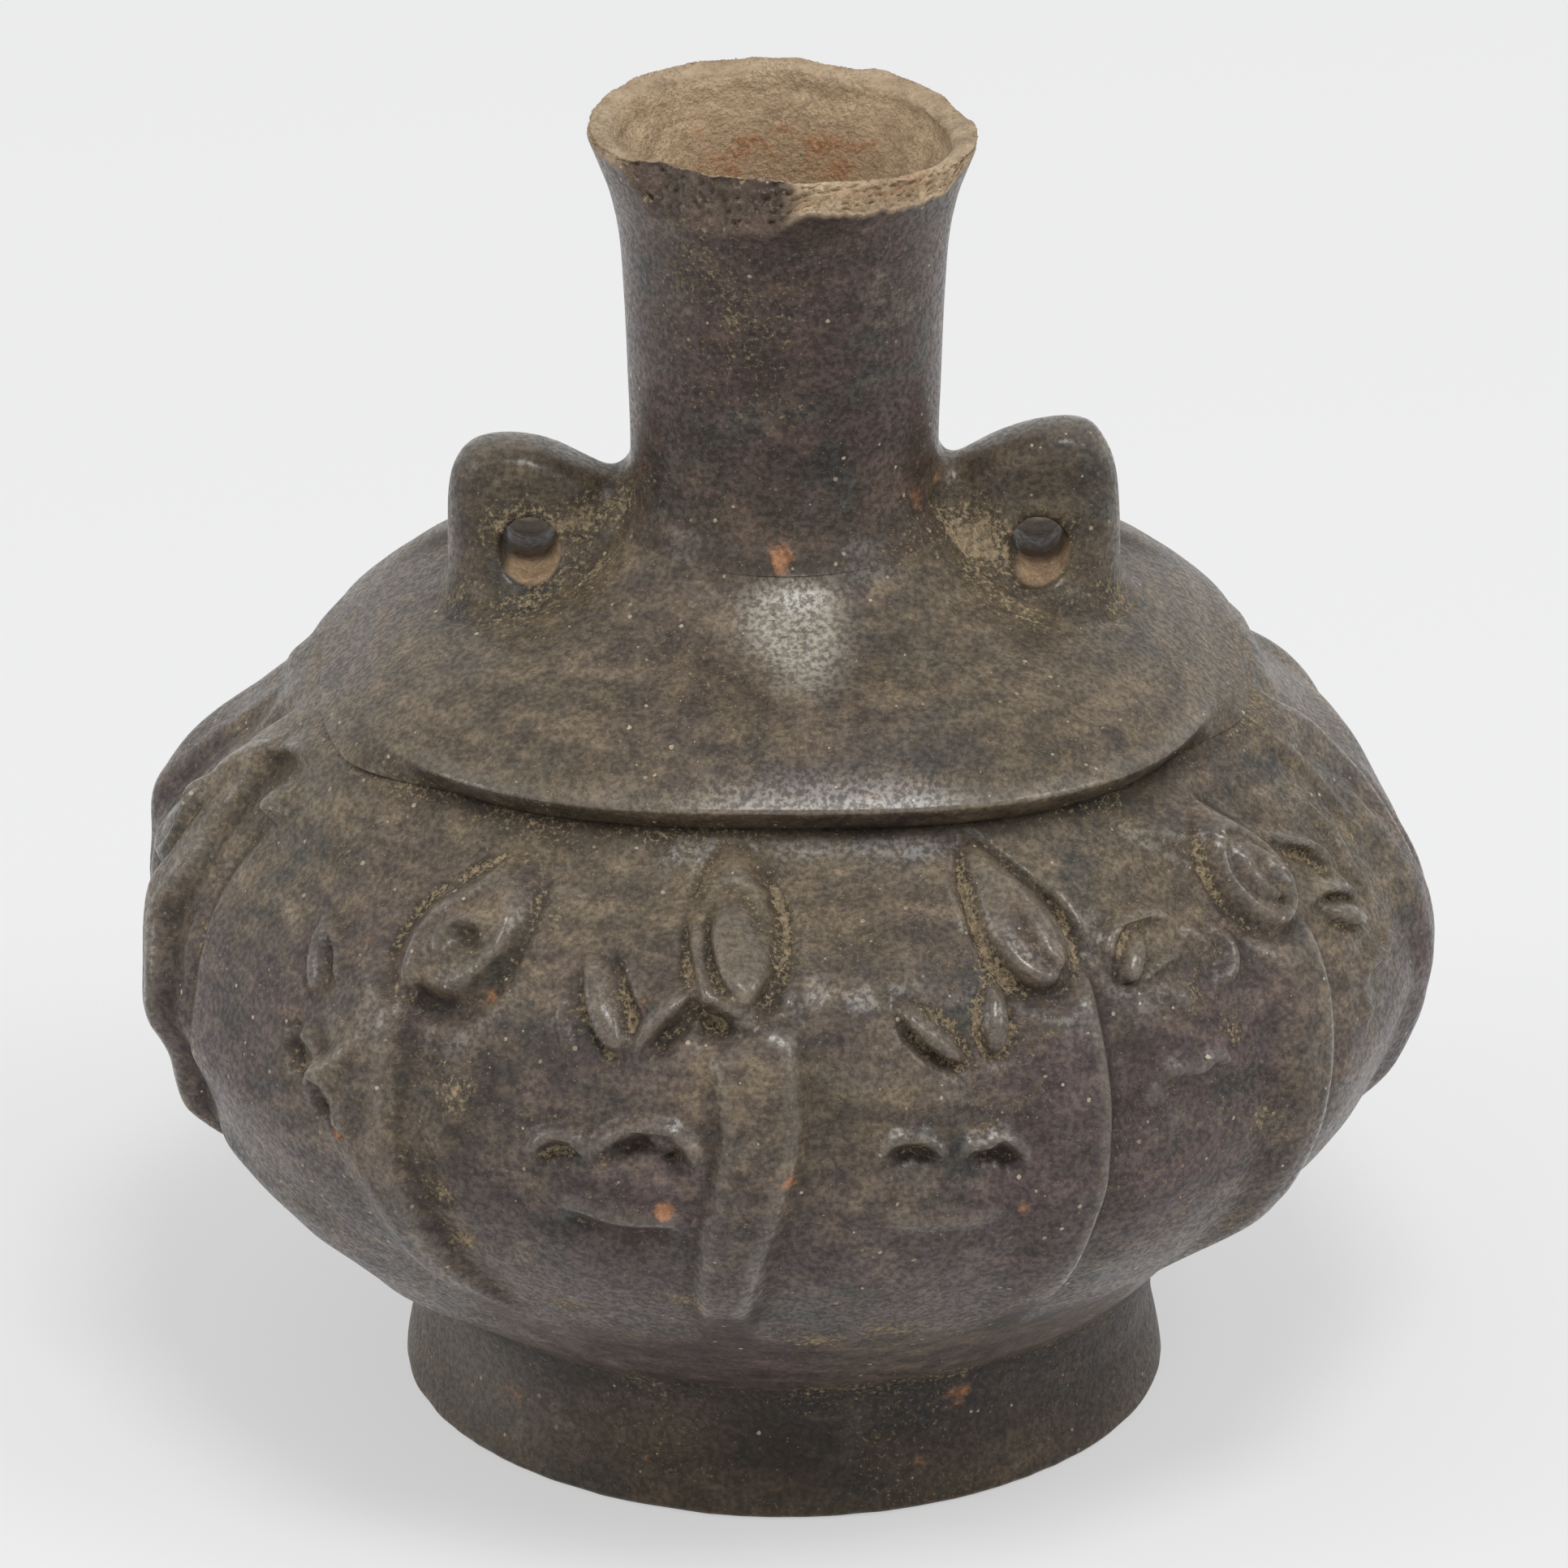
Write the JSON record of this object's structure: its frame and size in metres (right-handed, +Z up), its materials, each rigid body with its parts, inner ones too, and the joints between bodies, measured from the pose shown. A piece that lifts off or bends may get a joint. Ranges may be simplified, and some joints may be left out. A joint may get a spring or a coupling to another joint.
{
  "type": "blackware bottle",
  "caption": "Mould-pressed blackware bottle with relief ribs and seed bosses, a ring foot, a domed shoulder, pierced lugs and a tall flared neck.",
  "frame": {"origin": "centre of the ring foot, on the surface that the bottle stands on", "axes": "+Z up along the neck, -Y out of the front, X through the two lugs"},
  "size_m": [0.1713, 0.1729, 0.178],
  "materials": {
    "burnished_blackware": "satin",
    "smoothed_blackware": "satin",
    "raw_clay": "matte"
  },
  "bodies": {
    "root": {"foot_ring": "smoothed_blackware", "foot_luting_coil": "raw_clay", "body_front": "burnished_blackware", "body_rear": "burnished_blackware", "seam_coil_left": "raw_clay", "seam_coil_right": "raw_clay", "shoulder_dome": "burnished_blackware", "shoulder_luting_coil": "raw_clay", "neck": "burnished_blackware", "neck_luting_coil": "raw_clay", "lug_left": "smoothed_blackware", "lug_right": "smoothed_blackware"}
  },
  "joints": []
}
